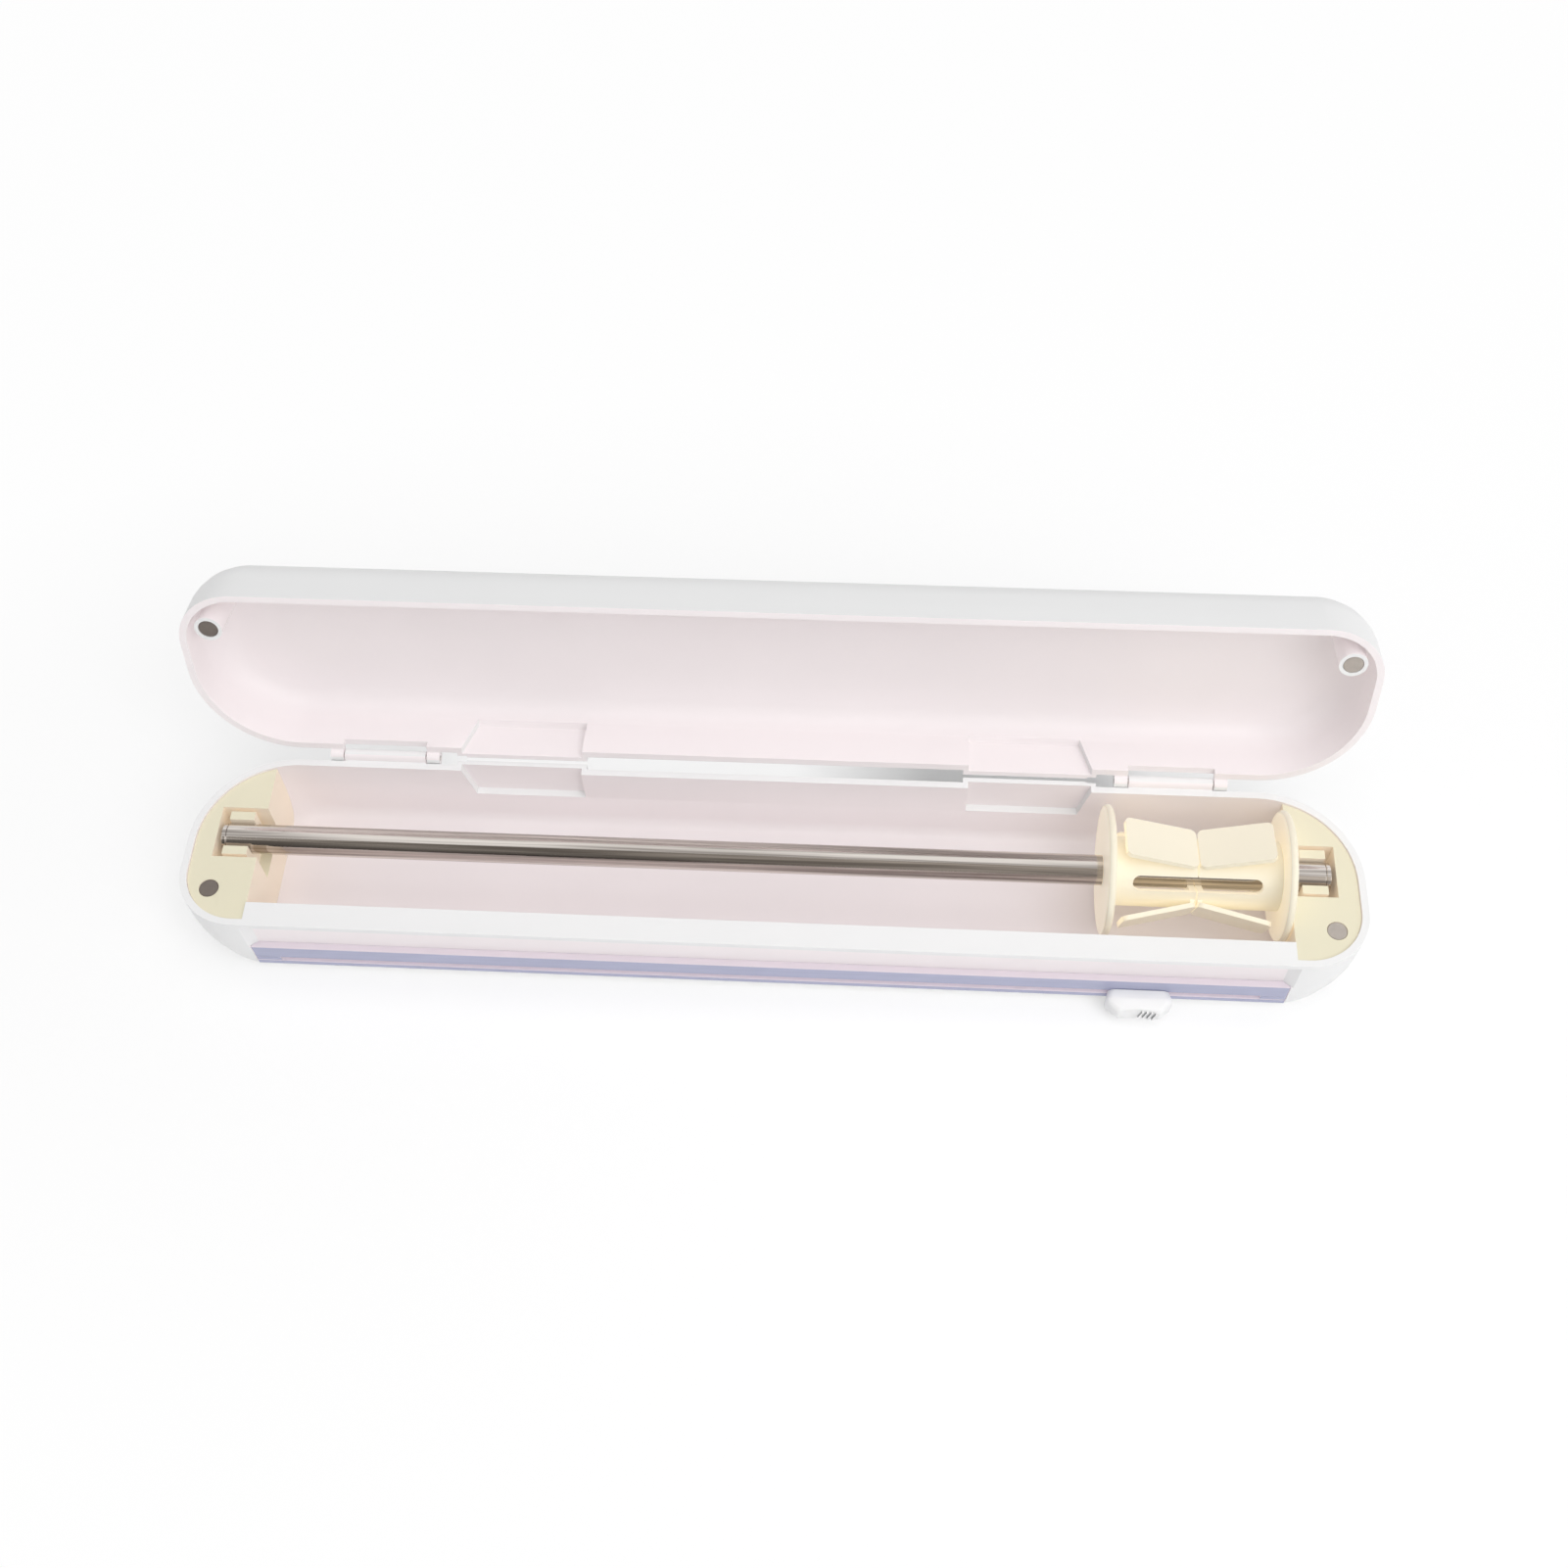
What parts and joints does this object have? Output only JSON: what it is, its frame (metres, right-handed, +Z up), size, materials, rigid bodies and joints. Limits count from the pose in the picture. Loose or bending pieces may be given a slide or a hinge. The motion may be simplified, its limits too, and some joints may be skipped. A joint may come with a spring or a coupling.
{
  "type": "cling film cutter",
  "caption": "Long round-ended case with a hinged lid, a rod with sprung core plugs for a film roll, and a thumb cutter that slides on a rail along the front.",
  "frame": {"origin": "middle of the flat underside, on the table", "axes": "+X along the roll, to the right as seen from the front; +Y from the front lip to the hinges; +Z up"},
  "size_m": [0.368, 0.1069, 0.0913],
  "materials": {
    "white_shell": "satin moulded",
    "white_plastic": "satin moulded",
    "cream_plastic": "satin moulded",
    "clear_rail": "clear extruded",
    "steel": "drawn",
    "magnet": "plated"
  },
  "bodies": {
    "base": {"base_tray": "white_shell", "end_block_left": "cream_plastic", "end_block_right": "cream_plastic", "base_magnet_left": "magnet", "base_magnet_right": "magnet", "cutter_rail": "clear_rail", "rail_plug_left": "clear_rail", "rail_plug_right": "clear_rail", "hinge_pin_left": "steel", "hinge_pin_right": "steel"},
    "lid": {"lid_shell": "white_shell", "lid_magnet_left": "magnet", "lid_magnet_right": "magnet"},
    "spindle": {"spindle_rod": "steel", "rod_cap_left": "steel", "rod_cap_right": "steel", "core_plug_right": "cream_plastic"},
    "left_plug": {"core_plug_left": "cream_plastic"},
    "cutter": {"cutter_knob": "white_plastic", "cutter_shoe": "white_plastic", "cutter_blade": "steel"}
  },
  "joints": [
    {"name": "lid_hinge", "type": "hinge", "parent": "base", "child": "lid", "pos_m": [0, 0.0328, 0.03015], "axis": [1, 0, 0], "range_deg": [0, 105]},
    {"name": "cutter_slide", "type": "slide", "parent": "base", "child": "cutter", "axis": [1, 0, 0], "range_m": [-0.26, 0.028]},
    {"name": "spindle_spin", "type": "hinge", "parent": "base", "child": "spindle", "pos_m": [0, 0.003, 0.025], "axis": [1, 0, 0], "continuous": true},
    {"name": "plug_slide", "type": "slide", "parent": "spindle", "child": "left_plug", "axis": [1, 0, 0], "range_m": [-0.264, 0]}
  ]
}
